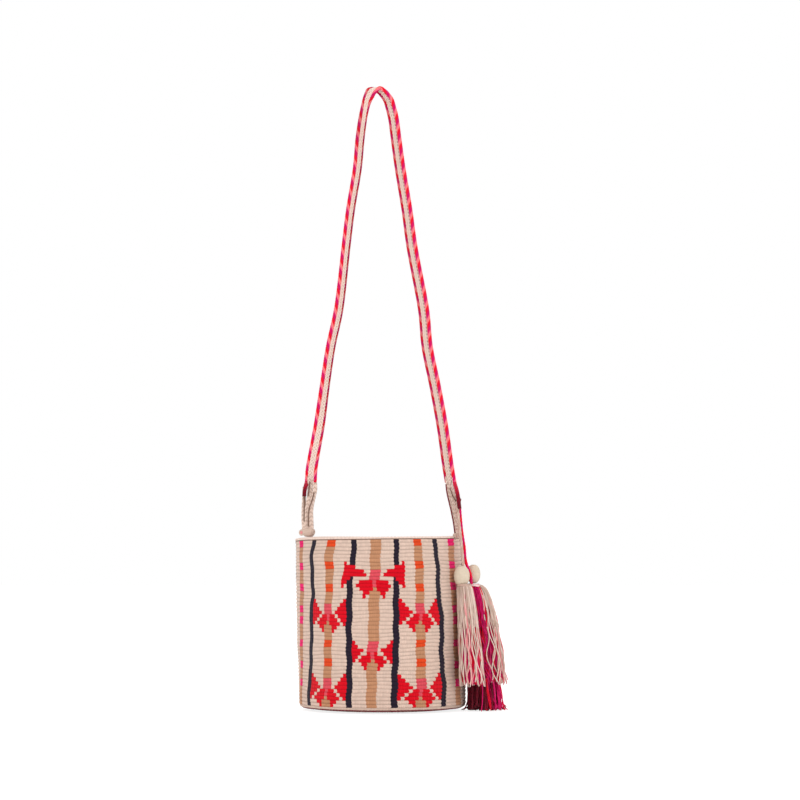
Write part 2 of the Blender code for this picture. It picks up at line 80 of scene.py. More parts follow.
# How the soft wall departs from a true cylinder
LEAN_ANGLE = 4.5
SPREAD_ANGLE = 6.9
TOP_SHIFT = -0.0020
FOOT_SHIFT = 0.0018
LEFT_RIM_DROP = 0.0018
RIGHT_RIM_RISE = 0.0014
RIM_BULGE = 0.0036
LOW_BULGE = 0.0015
FOOT_LIFT = 0.0027
LEFT_SIDE = -88.0
RIGHT_SIDE = 84.0
# How far each line of the pattern strays sideways up the wall: its angle, then shares of the height with a
# shift in millimetres
WANDER = (
    (-130.0, ((0, 0), (1, 0))),
    (-87.0, ((0, -9.0), (1, -9.0))),
    (-70.6, ((0, -1.0), (0.18, 0), (0.46, 1.5), (0.60, 1.0), (0.74, -1.0), (0.88, -5.0), (1, -5.0))),
    (-54.2, ((0, -2.0), (0.06, -4.0), (0.14, -3.5), (0.25, -0.5), (0.46, 0.5), (0.53, -3.0), (0.60, -3.0),
             (0.66, -1.5), (0.72, -3.6), (0.80, -6.0), (0.90, -7.6), (0.96, -3.0), (1, -0.3))),
    (-37.9, ((0, -0.7), (0.12, 0), (0.20, 1.6), (0.32, 1.5), (0.46, 0.4), (0.60, -2.5), (0.74, -3.0),
             (0.80, -4.3), (0.90, -5.9), (1, -0.8))),
    (-28.0, ((0, 2.0), (0.18, 2.2), (0.32, 1.5), (0.46, -0.1), (0.60, -2.0), (0.74, -2.0), (0.80, 0),
             (0.93, 1.2), (1, 0.5))),
    (-21.5, ((0, 3.0), (0.08, 2.6), (0.18, 2.7), (0.32, 1.5), (0.46, -0.6), (0.58, -1.0), (0.65, -1.9),
             (0.74, -2.0), (0.80, 0), (0.90, 1.9), (1, 1.0))),
    (-8.4, ((0, 0.1), (0.20, -0.3), (0.35, -0.6), (0.46, -0.1), (0.60, -0.5), (0.88, 0), (1, -0.7))),
    (-1.8, ((0, 0.2), (0.30, 0.4), (0.46, 1.6), (0.60, 1.2), (0.88, 1.7), (1, 1.9))),
    (5.5, ((0, -1.8), (0.30, -1.2), (0.46, -0.6), (0.65, -0.5), (0.77, 0.9), (0.90, 0), (1, -0.5))),
    (11.2, ((0, -3.4), (0.24, -3.2), (0.32, -1.9), (0.46, -1.7), (0.58, -2.0), (0.65, -2.6), (0.74, -2.1),
            (0.88, -1.5), (1, -2.4))),
    (17.8, ((0, -2.3), (0.24, -1.8), (0.46, -0.8), (0.60, -1.0), (0.72, -1.5), (0.79, -2.7), (0.93, -2.7),
            (1, -2.2))),
    (27.6, ((0, -0.6), (0.18, 0.2), (0.32, 0.4), (0.74, 0.4), (0.88, 0.2), (1, -2.5))),
    (43.9, ((0, 1.5), (0.04, 3.5), (0.09, 5.2), (0.16, 5.6), (0.24, 3.4), (0.32, 1.8), (0.46, 2.7),
            (0.54, 2.3), (0.60, 0.4), (0.67, -1.9), (0.74, -0.8), (0.80, 0.1), (0.88, -0.7), (1, -4.0))),
    (60.3, ((0, 5.0), (0.25, 6.0), (0.35, 3.0), (0.46, 2.0), (0.60, 0.3), (0.74, -0.7), (0.88, 1.0),
            (1, 0))),
    (76.7, ((0, 22.0), (0.50, 16.0), (1, 14.0))),
    (120.0, ((0, 0), (1, 0))),
)

# Yarn colours as 8-bit screen values
YARNS = {
    "cream": (216, 189, 173),
    "pale": (244, 219, 205),
    "shade": (205, 172, 156),
    "tan": (188, 135, 100),
    "navy": (36, 27, 42),
    "red": (214, 0, 26),
    "orange": (220, 70, 26),
    "hot_pink": (232, 0, 104),
    "stem_pink": (216, 76, 88),
    "maroon": (128, 22, 44),
    # Maroon darkened as painted shade
    "shaded_maroon": (74, 22, 30),
    "crimson": (240, 0, 46),
    "magenta": (218, 0, 100),
    "peach": (255, 132, 128),
    "pink": (246, 158, 160),
    "rose": (206, 30, 76),
    "blush": (255, 112, 136),
    "ball": (215, 198, 176),
    # Dark brown painted as shade: in the slits between the end cords, under the rim's edge and along the
    # strap's outer rope
    "seam": (134, 104, 90),
    "tie_white": (255, 216, 216),
    # Magenta darkened as painted shade, for tassel threads that lie in shade
    "dark_core": (112, 4, 30),
}

# Coloured rounds and the steps of the figures, in stitches
ORANGE_ROWS = (0, 1, 6, 7, 12, 13, 27, 28, 32, 33)
PINK_ROWS = (0, 1, 6, 7, 12, 13, 18, 19, 21, 22, 27, 28, 33, 34, 38, 39)
TRIANGLE = tuple((0, far) for far in (0, 1, 2, 3, 2, 1, 0))
WIDE_TRIANGLE = tuple((0, far) for far in (0, 1, 3, 2, 1, 0))
PETALS = ((1, 2), (1, 3), (1, 4), (2, 3), (2, 2))
WIDE_PETALS = ((1, 4), (1, 5), (1, 4), (2, 3), (3, 3))
SHORT_PETALS = ((1, 1), (1, 3), (1, 4), (2, 3), (2, 2))
WINGS = ((-4, -4), (-4, -1), (-4, 2), (-4, 3), (-4, -2), (-4, -3), (-4, -4))
STEM_ROWS = 3
STEM_IN_PETALS = 2

# Strap
STRAP_WIDTH = 0.0170
ROPE_RADIUS = 0.0024
STRAP_TOP = Vector((-0.0054, -0.0150, 0.7216))
STRAP_END_HEIGHT = 0.2620
LEFT_END_X = -0.0802
RIGHT_END_X = 0.0803
LEFT_EAR_ANGLE = -62.0
RIGHT_EAR_ANGLE = 69.0
TOP_EDGE = Vector((0.60, -0.80, -0.04))
APEX_TIP = 0.42
RIGHT_EDGE = Vector((0.71, -0.70, 0.0))
EAR_RADIUS = 0.0942
# Share of the strap's height, how far each leg stands out, and where the left leg's inner edge points
LEG_SHAPE = (
    (0.000, 1.000, 1.000, 0.80, -0.60),
    (0.043, 0.979, 0.963, 0.80, -0.35),
    (0.142, 0.873, 0.890, 0.75, 0.25),
    (0.241, 0.789, 0.795, 0.60, 0.70),
    (0.341, 0.698, 0.688, 0.56, 0.80),
    (0.441, 0.573, 0.635, 0.56, 0.80),
    (0.590, 0.473, 0.488, 0.56, 0.80),
    (0.691, 0.399, 0.414, 0.56, 0.80),
    (0.791, 0.299, 0.327, 0.56, 0.80),
    (0.866, 0.256, 0.272, 0.56, 0.75),
    (0.921, 0.212, 0.234, 0.54, 0.45),
    (0.953, 0.173, 0.193, 0.54, 0.10),
    (0.970, 0.144, 0.165, 0.55, -0.30),
    (0.985, 0.103, 0.110, 0.57, -0.60),
    (0.993, 0.076, 0.067, 0.58, -0.75),
)
ROPE_PITCH = 0.0175

# End cords: half the width and the middle line, from the band down to the tab
END_CORDS = {
    "left_end_cord_1": (0.0018, (
        (-0.0881, -0.0400, 0.2570), (-0.0888, -0.0420, 0.2418), (-0.0893, -0.0430, 0.2303),
        (-0.0893, -0.0440, 0.2189), (-0.0886, -0.0440, 0.2075),
    )),
    "left_end_cord_2": (0.0031, (
        (-0.0812, -0.0455, 0.2690), (-0.0812, -0.0455, 0.2532), (-0.0822, -0.0455, 0.2440),
        (-0.0842, -0.0455, 0.2326), (-0.0850, -0.0450, 0.2189), (-0.0847, -0.0440, 0.2075),
    )),
    "left_end_cord_3": (0.0028, (
        (-0.0768, -0.0470, 0.2690), (-0.0753, -0.0475, 0.2555), (-0.0771, -0.0475, 0.2452),
        (-0.0792, -0.0470, 0.2360), (-0.0800, -0.0465, 0.2268), (-0.0797, -0.0460, 0.2177),
        (-0.0794, -0.0450, 0.2075),
    )),
    "right_end_cord_1": (0.0020, (
        (0.0755, -0.0300, 0.2690), (0.0775, -0.0310, 0.2512), (0.0806, -0.0320, 0.2374),
        (0.0825, -0.0330, 0.2259), (0.0850, -0.0335, 0.2144), (0.0863, -0.0335, 0.2010),
    )),
    "right_end_cord_2": (0.0020, (
        (0.0790, -0.0340, 0.2690), (0.0813, -0.0345, 0.2512), (0.0832, -0.0345, 0.2374),
        (0.0848, -0.0345, 0.2259), (0.0867, -0.0345, 0.2144), (0.0878, -0.0340, 0.2010),
    )),
    "right_end_cord_3": (0.0020, (
        (0.0830, -0.0380, 0.2690), (0.0851, -0.0375, 0.2512), (0.0862, -0.0365, 0.2374),
        (0.0868, -0.0360, 0.2259), (0.0882, -0.0350, 0.2144), (0.0891, -0.0340, 0.2010),
    )),
}
# Dark lines painted beside the end cords as the shade in the slits between them, each with its yarn; the
# maroon one is the red edge cord, painted darker as shade
SLIT_SHADE_LINES = {
    "left_end_cord_2": (
        "seam",
        ((-0.0877, -0.0462, 0.2470), (-0.0877, -0.0462, 0.2320), (-0.0878, -0.0462, 0.2172)),
        ((-0.0866, -0.0462, 0.2530), (-0.0866, -0.0462, 0.2420), (-0.0869, -0.0462, 0.2330)),
        ((-0.0813, -0.0474, 0.2631), (-0.0820, -0.0474, 0.2550), (-0.0830, -0.0474, 0.2465)),
    ),
    "left_end_cord_3": (
        "seam",
        ((-0.0763, -0.0494, 0.2505), (-0.0784, -0.0494, 0.2425), (-0.0818, -0.0490, 0.2321),
         (-0.0829, -0.0485, 0.2229), (-0.0830, -0.0475, 0.2115)),
    ),
    "right_end_cord_1": (
        "maroon",
        ((0.0748, -0.0325, 0.2600), (0.0759, -0.0330, 0.2505), (0.0787, -0.0340, 0.2379),
         (0.0812, -0.0345, 0.2275), (0.0833, -0.0350, 0.2160), (0.0850, -0.0350, 0.2040)),
    ),
    "right_end_cord_3": (
        "seam",
        ((0.0790, -0.0402, 0.2560), (0.0820, -0.0402, 0.2482), (0.0857, -0.0402, 0.2405)),
    ),
}
# Where the band's outer ropes run on past its ends
LEFT_TAIL = ((-0.0860, -0.0490, 0.2578), (-0.0872, -0.0485, 0.2521), (-0.0876, -0.0480, 0.2463))
RIGHT_TAIL = ((0.0872, -0.0455, 0.2524), (0.0888, -0.0455, 0.2432), (0.0902, -0.0450, 0.2320))

# Tassels, and the routes of their cords from the knot down to the ball
NECK_HEIGHT = 0.1440
NECK_HALF = 0.0085
HEM_HEIGHT = 0.0315
SHORT_HEM_RISE = 0.064
SKIRT_THREAD = 0.00062
CORE_THREAD = 0.00072
CORE_THREADS = 150
FLOOR_THREADS = 420
FRONT_CORD = (
    (0.0876, -0.0432, 0.2385), (0.0879, -0.0437, 0.2330), (0.0884, -0.0444, 0.2270),
    (0.0890, -0.0452, 0.2205), (0.0897, -0.0461, 0.2140), (0.0904, -0.0471, 0.2075),
    (0.0911, -0.0481, 0.2010), (0.0917, -0.0491, 0.1950), (0.0923, -0.0501, 0.1890),
    (0.0928, -0.0510, 0.1835), (0.0933, -0.0518, 0.1780), (0.0936, -0.0524, 0.1740),
    (0.0938, -0.0527, 0.1715), (0.0939, -0.0529, 0.1698), (0.0940, -0.0530, 0.1688),
)
REAR_CORD = (
    (0.0900, -0.0408, 0.2385), (0.0905, -0.0412, 0.2330), (0.0909, -0.0417, 0.2270),
    (0.0914, -0.0422, 0.2205), (0.0920, -0.0427, 0.2140), (0.0926, -0.0432, 0.2075),
    (0.0935, -0.0436, 0.2010), (0.0944, -0.0439, 0.1950), (0.0954, -0.0442, 0.1890),
    (0.0960, -0.0448, 0.1830), (0.0963, -0.0454, 0.1770), (0.0973, -0.0460, 0.1710),
    (0.0992, -0.0466, 0.1650), (0.1015, -0.0469, 0.1595), (0.1030, -0.0463, 0.1540),
    (0.1033, -0.0451, 0.1495), (0.1036, -0.0441, 0.1460), (0.1038, -0.0434, 0.1432),
)

# Camera: the picture is 800 pixels wide
CAMERA_PLACE = (0.0220, -3.2, 0.200)
CAMERA_PITCH = 2.84
CAMERA_LENS = 123.8
LAMP_TARGET = (0, 0, 0.3)
LAMP_SIZE = 1.6
FLOOR_HALF = 8.0
FLOOR_HEIGHT = -0.0003


def around(angle):
    """The outward direction at an angle in degrees from the front."""
    turn = math.radians(angle)
    return Vector((math.sin(turn), -math.cos(turn), 0.0))


def along(angle):
    """The direction along the wall at an angle in degrees from the front."""
    turn = math.radians(angle)
    return Vector((math.cos(turn), math.sin(turn), 0.0))


def linear(colour):
    shares = np.array(YARNS[colour] if isinstance(colour, str) else colour) / 255
    return np.where(shares <= 0.04045, shares / 12.92, ((shares + 0.055) / 1.055) ** 2.4)


# Node helpers, shared by materials and geometry trees
class Value:
    """A socket in a sum: each operator adds one Math node."""

    def __init__(self, nodes, socket):
        self.nodes = nodes
        self.socket = socket

    def __add__(self, other):
        return self.nodes.math("ADD", self, other)

    def __sub__(self, other):
        return self.nodes.math("SUBTRACT", self, other)

    def __rsub__(self, other):
        return self.nodes.math("SUBTRACT", other, self)

    def __mul__(self, other):
        return self.nodes.math("MULTIPLY", self, other)

    def __pow__(self, other):
        return self.nodes.math("POWER", self, other)

    __radd__ = __add__
    __rmul__ = __mul__

    def hump(self, power):
        """0 at whole numbers and 1 half way between them."""
        wave = self.nodes.math("SINE", self * math.pi)
        return self.nodes.math("ABSOLUTE", wave) ** power

    def floor(self):
        return self.nodes.math("FLOOR", self)


class Nodes:
    """Adds nodes to one tree."""

    def __init__(self, tree):
        self.tree = tree

    def find(self, sockets, name):
        """The socket with this identifier, name or number."""
        named = [socket for socket in sockets if socket.identifier == name]
        return named[0] if named else sockets[name]

    def add(self, kind, settings=None, values=None):
        node = self.tree.nodes.new(kind)
        for name, setting in (settings or {}).items():
            setattr(node, name, setting)
        for name, value in (values or {}).items():
            socket = self.find(node.inputs, name)
            if isinstance(value, Value):
                self.tree.links.new(value.socket, socket)
            else:
                socket.default_value = value
        return node

    def get(self, kind, settings=None, values=None, output=0):
        node = self.add(kind, settings, values)
        return Value(self, self.find(node.outputs, output))

    def math(self, operation, *terms):
        return self.get("ShaderNodeMath", {"operation": operation}, dict(enumerate(terms)))

    def tint(self, colour, tone):
        """The colour, darker where the tone is low."""
        grey = self.get("ShaderNodeCombineColor", None, {"Red": tone, "Green": tone, "Blue": tone})
        settings = {"data_type": "RGBA", "blend_type": "MULTIPLY"}
        values = {"Factor_Float": 1.0, "A_Color": colour, "B_Color": grey}
        return self.get("ShaderNodeMix", settings, values, "Result_Color")

    def noise(self, place, scale, detail):
        values = {"Vector": place, "Scale": scale, "Detail": detail}
        return self.get("ShaderNodeTexNoise", None, values, "Fac")

    def split(self, vector):
        """The X and Y of a vector."""
        parts = self.add("ShaderNodeSeparateXYZ", None, {0: vector})
        return Value(self, parts.outputs["X"]), Value(self, parts.outputs["Y"])

    def chance(self, across, down):
        """A random share for each stitch."""
        cell = self.get("ShaderNodeCombineXYZ", None, {"X": across.floor(), "Y": down.floor()})
        return self.get("ShaderNodeTexWhiteNoise", None, {"Vector": cell}, "Value")


def node_material(name):
    """A material, with its nodes and its shader."""
    material = bpy.data.materials.new(name)
    material.use_nodes = True
    return material, Nodes(material.node_tree), material.node_tree.nodes["Principled BSDF"]


def cotton(name, texture, strength, distance, roughness, specular, sheen):
    """Matte cotton in the colours of the yarn attribute; texture gives the tone and height of its surface."""
    material, nodes, shader = node_material(name)
    yarn = nodes.get("ShaderNodeAttribute", {"attribute_name": "yarn"}, None, "Color")
    tone, height = texture(nodes, nodes.get("ShaderNodeTexCoord", None, None, "Object"))
    tinted = nodes.tint(yarn, tone)
    bump = {"Strength": strength, "Distance": distance, "Height": height}
    normal = nodes.get("ShaderNodeBump", None, bump, "Normal")
    nodes.tree.links.new(tinted.socket, shader.inputs["Base Color"])
    nodes.tree.links.new(normal.socket, shader.inputs["Normal"])
    shader.inputs["Roughness"].default_value = roughness
    shader.inputs["Specular IOR Level"].default_value = specular
    shader.inputs["Sheen Weight"].default_value = sheen
    return material


def plied(nodes, place):
    """Twisted plies with loose fibres, with shade painted into the grooves between the plies."""
    mottle = nodes.noise(place, 260.0, 2.0)
    fuzz = nodes.noise(place, 2600.0, 3.0)
    length, turn = nodes.split(nodes.get("ShaderNodeUVMap", {"uv_map": "lay"}))
    twist = (length * 1.1 + turn * 2.0).hump(0.8)
    # Painted shade: darker between the plies, from the twist
    tone = (0.86 + mottle * 0.16 + fuzz * 0.10) * (0.775 + twist * 0.225)
    return tone, fuzz * 0.35 + twist * 0.8


def crocheted(depth):
    """Single crochet: each stitch is a leaning V of plied yarn; depth sets how dark the shade painted into
    the lines between the rounds is.
    """

    def texture(nodes, place):
        across, down = nodes.split(nodes.get("ShaderNodeUVMap", {"uv_map": "stitches"}))
        legs = (across * 2 + down.hump(1.0) * 0.35).hump(0.6)
        plies = (across * 5 + down * 2.5).hump(1.0)
        fuzz = nodes.noise(place, 2400.0, 3.0)
        mottle = nodes.noise(place, 90.0, 2.0)
        settings = {"noise_dimensions": "1D"}
        uneven = nodes.get("ShaderNodeTexWhiteNoise", settings, {"W": down.floor()}, "Value")
        # Painted shade: darker in the grooves between the rounds and, a little, between a stitch's legs
        groove_shade = depth * (0.3 + uneven * 0.8 + mottle * 0.5)
        tone = (1.03 - (1 - down.hump(0.3)) * groove_shade) * (0.94 + legs * 0.06)
        tone = tone * (0.92 + nodes.chance(across, down) * 0.10 + mottle * 0.08)
        return tone, legs * 0.7 + plies * 0.25 + fuzz * 0.35

    return texture


def crochet_relief():
    """A geometry tree that raises each round as a ridge and each stitch as a lump."""
    tree = bpy.data.node_groups.new("crochet relief", "GeometryNodeTree")
    tree.interface.new_socket("Geometry", in_out="OUTPUT", socket_type="NodeSocketGeometry")
    tree.interface.new_socket("Geometry", in_out="INPUT", socket_type="NodeSocketGeometry")
    for name in RELIEF_INPUTS:
        tree.interface.new_socket(name, in_out="INPUT", socket_type="NodeSocketFloat")
    tree.interface.new_socket("Yarn", in_out="INPUT", socket_type="NodeSocketMaterial")
    nodes = Nodes(tree)
    start = nodes.add("NodeGroupInput")
    stitch = nodes.get(
        "GeometryNodeInputNamedAttribute", {"data_type": "FLOAT_VECTOR"}, {"Name": "stitch"}
    )
    across, down = nodes.split(stitch)
    chance = nodes.chance(across, down)
    ridge, lump, uneven = (Value(nodes, start.outputs[name]) for name in RELIEF_INPUTS)
    height = down.hump(0.45) * (ridge + lump * across.hump(0.7) + uneven * (chance - 0.5))
    normal = nodes.get("GeometryNodeInputNormal")
    offset = nodes.get(
        "ShaderNodeVectorMath", {"operation": "SCALE"}, {0: normal, "Scale": height}
    )
    values = {"Geometry": Value(nodes, start.outputs["Geometry"]), "Offset": offset}
    moved = nodes.get("GeometryNodeSetPosition", None, values)
    whole = nodes.get("GeometryNodeRealizeInstances", None, {"Geometry": moved})
    values = {"Geometry": whole, "Material": Value(nodes, start.outputs["Yarn"])}
    dressed = nodes.get("GeometryNodeSetMaterial", None, values)
    nodes.add("NodeGroupOutput", None, {0: dressed})
    return tree


def settle(obj):
    """Turn an object with its modifiers into a plain mesh."""
    graph = bpy.context.evaluated_depsgraph_get()
    mesh = bpy.data.meshes.new_from_object(obj.evaluated_get(graph))
    obj.modifiers.clear()
    obj.data = mesh
    return obj


def add_object(name, data):
    obj = bpy.data.objects.new(name, data)
    bpy.context.scene.collection.objects.link(obj)
    return obj


def add_mesh(name, points, faces):
    mesh = bpy.data.meshes.new(name)
    mesh.from_pydata(points, [], faces)
    mesh.shade_smooth()
    return add_object(name, mesh)


def store_yarn(mesh, domain, colours):
    """Keep the yarn's colour of each point or corner."""
    shades = np.concatenate([colours, np.ones((len(colours), 1))], axis=1)
    yarn = mesh.attributes.new("yarn", "FLOAT_COLOR", domain)
    yarn.data.foreach_set("color", shades.astype(np.float32).ravel())


def store_lay(mesh, name, places):
    """Keep how far along and across the yarn each corner lies."""
    lay = mesh.uv_layers.new(name=name)
    lay.data.foreach_set("uv", places.astype(np.float32).ravel())


def dress(obj, slot, *nodes):
    """Make a piece ride on the body and stand for CAD nodes, which it hides. slot is not used."""
    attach(obj, BODY)
    if nodes:
        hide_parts(*nodes)
    return obj


def crochet_sheet(name, place, colours, fine, relief, material):
    """A closed round of crochet. place gives points for arrays of stitches and rows; colours is a table by
    row and stitch; fine is steps a stitch and the shares of a row that have a ring; relief is the ridge, lump
    and unevenness."""
    rows, stitches = colours.shape[:2]
    per_stitch, shares = fine
    per_row = len(shares)
    columns = stitches * per_stitch
    rings = rows * per_row + 1
    u = np.arange(columns) / per_stitch
    v = np.append((np.arange(rows)[:, None] + np.array(shares)).ravel(), rows)
    grid_u, grid_v = np.meshgrid(u, v)
    points = place(grid_u, grid_v).reshape(-1, 3)
    ring, column = np.meshgrid(np.arange(rings - 1), np.arange(columns), indexing="ij")
    after = (column + 1) % columns
    here, below = ring * columns, (ring + 1) * columns
    quads = np.stack([here + column, below + column, below + after, here + after], axis=-1)
    obj = add_mesh(name, points.tolist(), quads.reshape(-1, 4).tolist())
    mesh = obj.data
    stitch = mesh.attributes.new("stitch", "FLOAT_VECTOR", "POINT")
    values = np.stack([grid_u, grid_v, np.zeros_like(grid_u)], axis=-1)
    stitch.data.foreach_set("vector", values.astype(np.float32).ravel())
    corner_u = np.stack([column, column, column + 1, column + 1], axis=-1) / per_stitch
    corner_v = np.stack([v[ring], v[ring + 1], v[ring + 1], v[ring]], axis=-1)
    store_lay(mesh, "stitches", np.stack([corner_u, corner_v], -1))
    cells = colours[(ring // per_row), (column // per_stitch)].reshape(-1, 3)
    store_yarn(mesh, "CORNER", np.repeat(cells, 4, axis=0))
    modifier = obj.modifiers.new("relief", "NODES")
    modifier.node_group = RELIEF
    inputs = [i for i in RELIEF.interface.items_tree if i.in_out == "INPUT"]
    named = {i.name: i.identifier for i in inputs}
    for label, value in zip(RELIEF_INPUTS, relief):
        modifier[named[label]] = value
    modifier[named["Yarn"]] = material
    return settle(obj)


def tubes(name, strands, material, sides=6, reference=(0.2, 1.0, 0.1)):
    """Many strands of yarn in one mesh, each (points, radius, colour); radius and colour may vary."""
    all_points, all_faces, all_colours, all_lays = [], [], [], []
    start = 0
    turn = np.linspace(0, 2 * math.pi, sides, endpoint=False)
    for points, radius, colour in strands:
        points = np.asarray(points, float)
        count = len(points)
        tangent = np.gradient(points, axis=0)
        tangent /= np.linalg.norm(tangent, axis=1, keepdims=True)
        normal = np.cross(tangent, np.asarray(reference, float))
        normal /= np.linalg.norm(normal, axis=1, keepdims=True)
        other = np.cross(tangent, normal)
        radius = np.broadcast_to(np.asarray(radius, float), (count,)).copy()
        cosine, sine = np.cos(turn)[None, :, None], np.sin(turn)[None, :, None]
        ring = normal[:, None] * cosine + other[:, None] * sine
        all_points.append((points[:, None] + ring * radius[:, None, None]).reshape(-1, 3))
        shades = np.broadcast_to(np.asarray(colour, float), (count, 3))
        all_colours.append(np.repeat(shades, sides, axis=0))
        i, j = np.meshgrid(np.arange(count - 1), np.arange(sides), indexing="ij")
        k = (j + 1) % sides
        quads = np.stack([i * sides + j, i * sides + k, (i + 1) * sides + k, (i + 1) * sides + j], -1)
        all_faces.extend((quads.reshape(-1, 4) + start).tolist())
        all_faces.append((start + np.arange(sides)[::-1]).tolist())
        all_faces.append((start + (count - 1) * sides + np.arange(sides)).tolist())
        steps = np.linalg.norm(np.diff(points, axis=0), axis=1)
        length = np.concatenate([[0], np.cumsum(steps)]) / (2 * radius.mean())
        low, high = length[i], length[i + 1]
        corners = ((low, j), (low, j + 1), (high, j + 1), (high, j))
        lay = np.stack([np.stack([reach, side / sides], -1) for reach, side in corners], axis=2)
        all_lays.append(lay.reshape(-1, 2))
        all_lays.append(np.zeros((2 * sides, 2)))
        start += count * sides
    obj = add_mesh(name, np.concatenate(all_points).tolist(), all_faces)
    mesh = obj.data
    store_yarn(mesh, "POINT", np.concatenate(all_colours))
    store_lay(mesh, "lay", np.concatenate(all_lays))
    mesh.materials.append(material)
    return obj


def smooth_path(points, steps=24):
    """Catmull-Rom curve through the points, evenly fine."""
    points = np.asarray(points, float)
    ends = np.vstack([2 * points[0] - points[1], points, 2 * points[-1] - points[-2]])
    pieces = []
    t = np.linspace(0, 1, steps, endpoint=False)[:, None]
    for before, start, end, after in zip(ends, ends[1:], ends[2:], ends[3:]):
        square = 2 * before - 5 * start + 4 * end - after
        cube = 3 * start - before - 3 * end + after
        pieces.append(0.5 * (2 * start + (end - before) * t + square * t**2 + cube * t**3))
    return np.vstack([*pieces, points[-1:]])


def even(path, step, *others):
    """The path at equal steps of its length, and other values carried along with it."""
    lengths = np.concatenate([[0], np.cumsum(np.linalg.norm(np.diff(path, axis=0), axis=1))])
    count = max(int(lengths[-1] / step), 3)
    at = np.linspace(0, lengths[-1], count + 1)

    def along_it(values):
        return np.stack([np.interp(at, lengths, values[:, n]) for n in range(values.shape[1])], axis=1)

    return [at, along_it(path), *(along_it(values) for values in others)]


def unit(vectors):
    return vectors / np.linalg.norm(vectors, axis=1, keepdims=True)


def frames_along(path, across):
    """Unit directions across a band and through it, from a rough direction across or one for each point."""
    across = np.asarray(across)
    forward = unit(np.gradient(path, axis=0))
    across = unit(across - forward * np.sum(across * forward, axis=1, keepdims=True))
    return across, np.cross(forward, across)


def beside(path, across, out, sideways, outwards):
    """The line that runs this far beside the path and out from it."""
    return path + across * sideways[:, None] + out * outwards[:, None]


def rope(path, at, across, out, centre, radius, pitch, shades, strand, start=0.0, tone=None):
    """Strands twisted round a line that runs beside the path; radius, strand and tone may vary along it."""
    strands = []
    tone = np.ones(len(path)) if tone is None else tone
    for number, shade in enumerate(shades):
        turn = 2 * math.pi * (at / pitch + number / len(shades) + start)
        points = beside(path, across, out, centre + radius * np.cos(turn), radius * np.sin(turn))
        strands.append((points, strand, linear(shade) * tone[:, None]))
    return strands


def braid(path, at, across, out, count, wide, deep, wave, strand, shades):
    """A flat plait of this many strands along the path."""
    strands = []
    for number in range(count):
        turn = 2 * math.pi * (at / wave + number / count)
        points = beside(path, across, out, wide * np.sin(turn), deep * np.sin(2 * turn))
        strands.append((points, strand, linear(shades[number % len(shades)])))
    return strands


# The bag's shape
def wall_radius(height):
    share = height / BAG_HEIGHT
    foot = FOOT_RADIUS * (1 - share) * (1 - 2 * share)
    belly = BELLY_RADIUS * 4 * share * (1 - share)
    rim = RIM_RADIUS * share * (2 * share - 1)
    return foot + belly + rim


def wander(angle, share):
    """How far the pattern's lines stray sideways here, in metres."""
    angles = [line for line, _ in WANDER]
    curves = [smooth_path(pairs, 6) for _, pairs in WANDER]
    shifts = np.stack([np.interp(share, curve[:, 0], curve[:, 1]) for curve in curves])
    at = np.interp(angle, angles, np.arange(len(angles)))
    low = np.minimum(at.astype(int), len(angles) - 2)
    first = np.take_along_axis(shifts, low[None], 0)[0]
    second = np.take_along_axis(shifts, low[None] + 1, 0)[0]
    return (first + (second - first) * (at - low)) * 0.001


def swell(value, middle, width):
    """1 at the middle, falling away on both sides."""
    return np.exp(-(((value - middle) / width) ** 2))


def soften(radius, angle, height):
    """The soft bag's own shape: stitches lean and wander, the wall waves, the rim dips at the sides."""
    share = np.clip(height / BAG_HEIGHT, 0, 1)
    turned = (np.degrees(angle) + 180) % 360 - 180
    turned = turned + np.degrees(wander(turned, share) / BELLY_RADIUS)
    turned = turned + LEAN_ANGLE * (share - 0.5)
    turned = turned + SPREAD_ANGLE * (0.5 - share) * np.sin(np.radians(turned))
    turn = np.radians(turned)
    wave = 0.0008 * np.sin(3 * turn + 9 * share) + 0.0005 * np.sin(5 * turn - 7 * share + 1.0)
    left = swell(turned, LEFT_SIDE, 35) * np.clip((share - 0.68) / 0.32, 0, 1) ** 1.3
    low = swell(turned, LEFT_SIDE, 30) * swell(share, 0.36, 0.14)
    radius = radius + wave * np.minimum(share * 4, 1) + RIM_BULGE * left + LOW_BULGE * low
    dip = LEFT_RIM_DROP * swell(turned, LEFT_SIDE, 26) * share**4
    dip = dip - RIGHT_RIM_RISE * swell(turned, RIGHT_SIDE, 30) * share**4
    dip = dip - FOOT_LIFT * (1 - share)
    inside = np.minimum(share * 6, 1) * np.minimum((1 - share) * 8, 1)
    ripple = 0.0006 * np.sin(2 * turn + 0.5) * share
    ripple = ripple + 0.0006 * np.sin(5 * turn + 13 * share) * inside
    ripple = ripple + 0.0004 * np.sin(11 * turn - 31 * share) * inside
    shift = FOOT_SHIFT + (TOP_SHIFT - FOOT_SHIFT) * share
    x = radius * np.sin(turn) + shift
    y = -radius * np.cos(turn)
    return np.stack([x, y, height - dip + ripple], axis=-1)


def profile(length, inset=0.0):
    """Radius and height of the wall at a length down from the rim, round the foot and under the base."""
    straight = BAG_HEIGHT - EDGE_HEIGHT - FOOT_ROUNDING
    arc = FOOT_ROUNDING * math.pi / 2
    corner = wall_radius(FOOT_ROUNDING) - FOOT_ROUNDING
    turn = np.clip((length - straight) / FOOT_ROUNDING, 0, math.pi / 2)
    height = BAG_HEIGHT - EDGE_HEIGHT - np.minimum(length, straight)
    radius = wall_radius(np.maximum(height, FOOT_ROUNDING)) - inset
    bent = length > straight
    radius = np.where(bent, corner + (FOOT_ROUNDING - inset) * np.cos(turn), radius)
    height = np.where(bent, FOOT_ROUNDING - (FOOT_ROUNDING - inset) * np.sin(turn), height)
    under = np.maximum(length - straight - arc, 0)
    return radius - under, height


